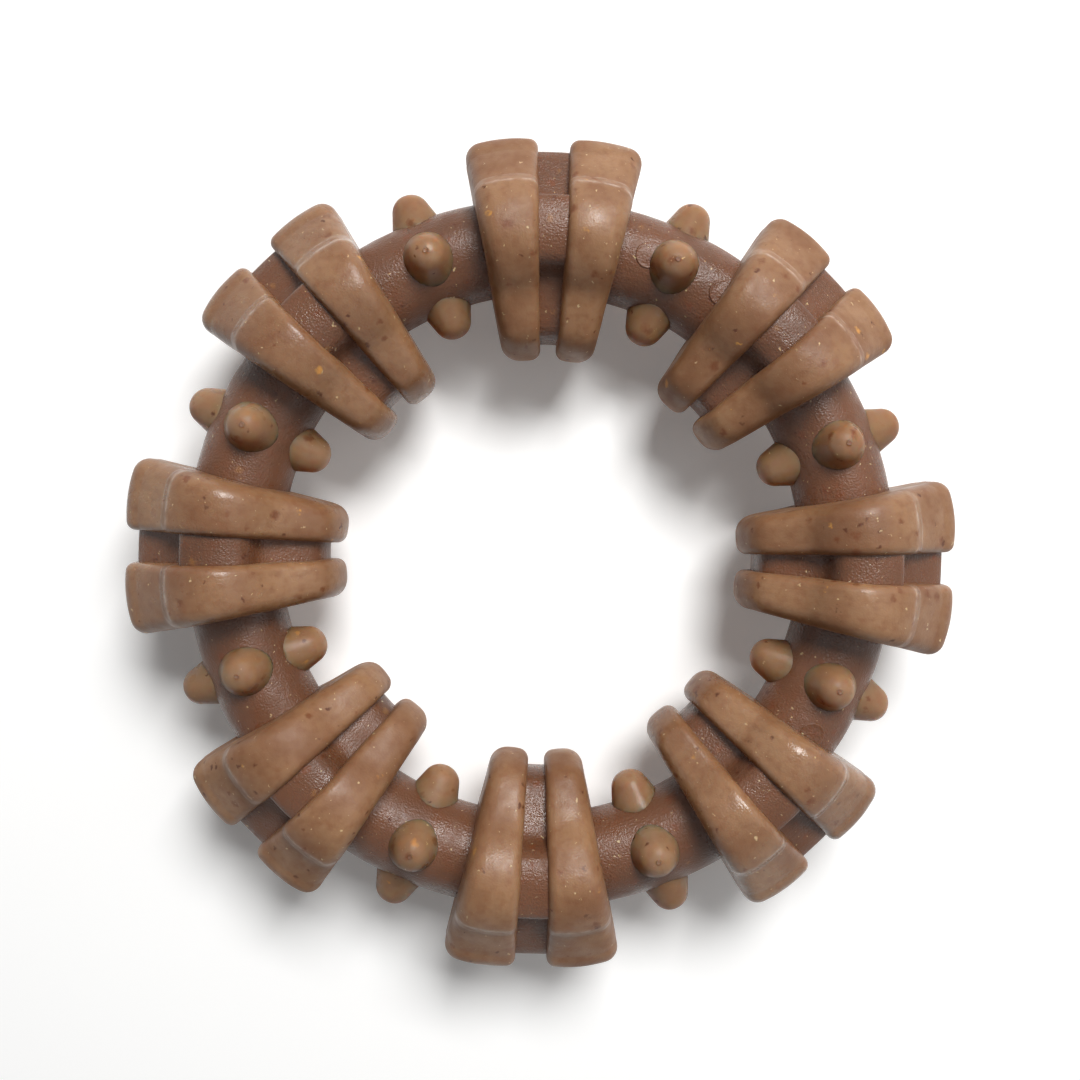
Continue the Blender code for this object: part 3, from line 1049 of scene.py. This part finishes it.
class CHEWRING_OT_nubs(bpy.types.Operator):
    """Builds the nub crosses between neighbouring pairs"""

    bl_idname = "chewring.nubs"
    bl_label = "Nub crosses"

    def execute(self, context):
        sizes = context.scene.chew_ring_sizes
        tree, names = nub_cross_tree()
        material = clear_nylon(context.scene.chew_ring_colours)
        gated, plain = (
            bpy.data.objects.new(name, nub_mesh(sizes, scar))
            for name, scar in (("gated_nub", True), ("plain_nub", False))
        )
        for number, turn in enumerate(pair_turns(sizes), 1):
            values = {
                "Gated nub": gated,
                "Plain nub": plain,
                "Ring radius": sizes.ring_radius,
                "Turn": turn - math.pi / sizes.pair_count,
                **skin_values(sizes, material, seed=3.0),
            }
            empty = bpy.data.meshes.new("nub_cross")
            piece = grown(f"nub_cross_{number}_skin", empty, tree, names, values)
            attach(piece, BODY)
            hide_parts(f"nub_cross_{number}")
        for helper in (gated, plain):
            bpy.data.objects.remove(helper)
        return {"FINISHED"}


def shown_rays(tree):
    """1 for rays that show the background, directly, mirrored or through the object, else 0."""
    rays = add(tree, "ShaderNodeLightPath").outputs
    mirrored = add(
        tree,
        "ShaderNodeMath",
        {0: rays["Is Glossy Ray"], 1: rays["Is Transmission Ray"]},
        operation="MAXIMUM",
    )
    return add(
        tree,
        "ShaderNodeMath",
        {0: rays["Is Camera Ray"], 1: mirrored.outputs[0]},
        operation="MAXIMUM",
    ).outputs[0]


class CHEWRING_OT_studio(bpy.types.Operator):
    """Builds the paper floor, the soft light and the camera"""

    bl_idname = "chewring.studio"
    bl_label = "Studio"

    def execute(self, context):
        scene = context.scene
        mesh = bpy.data.meshes.new("floor")
        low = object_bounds()[0][2]
        ends = ((-1, -1), (1, -1), (1, 1), (-1, 1))
        corners = [(x * FLOOR_HALF, y * FLOOR_HALF, low) for x, y in ends]
        mesh.from_pydata(corners, [], [(0, 1, 2, 3)])
        floor = bpy.data.objects.new("floor", mesh)
        scene.collection.objects.link(floor)
        # Matt paper: white, with the ring's soft shadow on it and no gloss
        paper = bpy.data.materials.new("white_studio_paper")
        paper.use_nodes = True
        tree = paper.node_tree
        tree.nodes.clear()
        matt = add(tree, "ShaderNodeBsdfDiffuse", {"Color": scene.chew_ring_colours.floor})
        place = add(tree, "ShaderNodeTexCoord").outputs["Object"]
        away = add(tree, "ShaderNodeVectorMath", {0: place}, operation="LENGTH").outputs["Value"]
        fade = add(tree, "ShaderNodeMapRange", {"Value": away, **FLOOR_GLOW})
        glow = add(tree, "ShaderNodeEmission", {"Color": WHITE, "Strength": fade.outputs[0]})
        both = add(tree, "ShaderNodeAddShader", {0: matt.outputs[0], 1: glow.outputs[0]})
        shown = add(
            tree, "ShaderNodeMixShader", {0: shown_rays(tree), 1: matt.outputs[0], 2: both.outputs[0]}
        )
        add(tree, "ShaderNodeOutputMaterial", {"Surface": shown.outputs[0]})
        mesh.materials.append(paper)
        floor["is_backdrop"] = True

        world = bpy.data.worlds.new("studio_surround")
        world.use_nodes = True
        tree = world.node_tree
        tree.nodes.clear()
        fill = add(tree, "ShaderNodeBackground", {"Color": WHITE, "Strength": SURROUND_FILL})
        white = add(tree, "ShaderNodeBackground", {"Color": WHITE, "Strength": 1.0})
        shown = add(
            tree, "ShaderNodeMixShader", {0: shown_rays(tree), 1: fill.outputs[0], 2: white.outputs[0]}
        )
        add(tree, "ShaderNodeOutputWorld", {"Surface": shown.outputs[0]})
        scene.world = world

        for name, azimuth, height, away, width, depth, power in LAMPS:
            lamp = bpy.data.lights.new(name, "AREA")
            lamp.shape = "RECTANGLE"
            lamp.size, lamp.size_y = width, depth
            lamp.energy = power
            box = bpy.data.objects.new(name, lamp)
            turn, lift = math.radians(azimuth), math.radians(height)
            level = math.cos(lift)
            aim = Vector((math.sin(turn) * level, math.cos(turn) * level, math.sin(lift)))
            box.location = aim * away
            box.rotation_euler = aim.to_track_quat("Z", "Y").to_euler()
            scene.collection.objects.link(box)

        camera = bpy.data.cameras.new("camera")
        camera.lens, camera.sensor_width = CAMERA_LENS_MM, CAMERA_SENSOR_MM
        camera.clip_start = CAMERA_NEAR
        eye = bpy.data.objects.new("camera", camera)
        where, at = Vector(CAMERA_PLACE_MM) * MM, Vector(CAMERA_AIM_MM) * MM
        back = (where - at).normalized()
        above = Vector((math.sin(CAMERA_ROLL), math.cos(CAMERA_ROLL), 0.0))
        right = above.cross(back).normalized()
        eye.matrix_world = Matrix((right, back.cross(right), back)).transposed().to_4x4()
        eye.location = where
        scene.collection.objects.link(eye)
        scene.camera = eye
        scene.view_settings.view_transform = "Standard"
        return {"FINISHED"}


class CHEWRING_PT_panel(bpy.types.Panel):
    """Lists the ring's pieces, sizes and colours"""

    bl_idname = "CHEWRING_PT_panel"
    bl_label = "Chew ring"
    bl_space_type = "VIEW_3D"
    bl_region_type = "UI"
    bl_category = "Chew ring"

    def draw(self, context):
        for operator in PIECES:
            self.layout.operator(operator.bl_idname)
        for group in (context.scene.chew_ring_sizes, context.scene.chew_ring_colours):
            for name in group.__annotations__:
                self.layout.prop(group, name)


PIECES = (
    CHEWRING_OT_core,
    CHEWRING_OT_pin_marks,
    CHEWRING_OT_bands,
    CHEWRING_OT_nubs,
    CHEWRING_OT_studio,
)
CLASSES = (ChewRingSizes, ChewRingColours, *PIECES, CHEWRING_PT_panel)


def register():
    for cls in CLASSES:
        bpy.utils.register_class(cls)
    bpy.types.Scene.chew_ring_sizes = PointerProperty(type=ChewRingSizes)
    bpy.types.Scene.chew_ring_colours = PointerProperty(type=ChewRingColours)


def unregister():
    del bpy.types.Scene.chew_ring_colours
    del bpy.types.Scene.chew_ring_sizes
    for cls in reversed(CLASSES):
        bpy.utils.unregister_class(cls)


def main():
    register()
    for piece in (
        bpy.ops.chewring.core,
        bpy.ops.chewring.pin_marks,
        bpy.ops.chewring.bands,
        bpy.ops.chewring.nubs,
        bpy.ops.chewring.studio,
    ):
        piece()


if __name__ == "__main__":
    main()
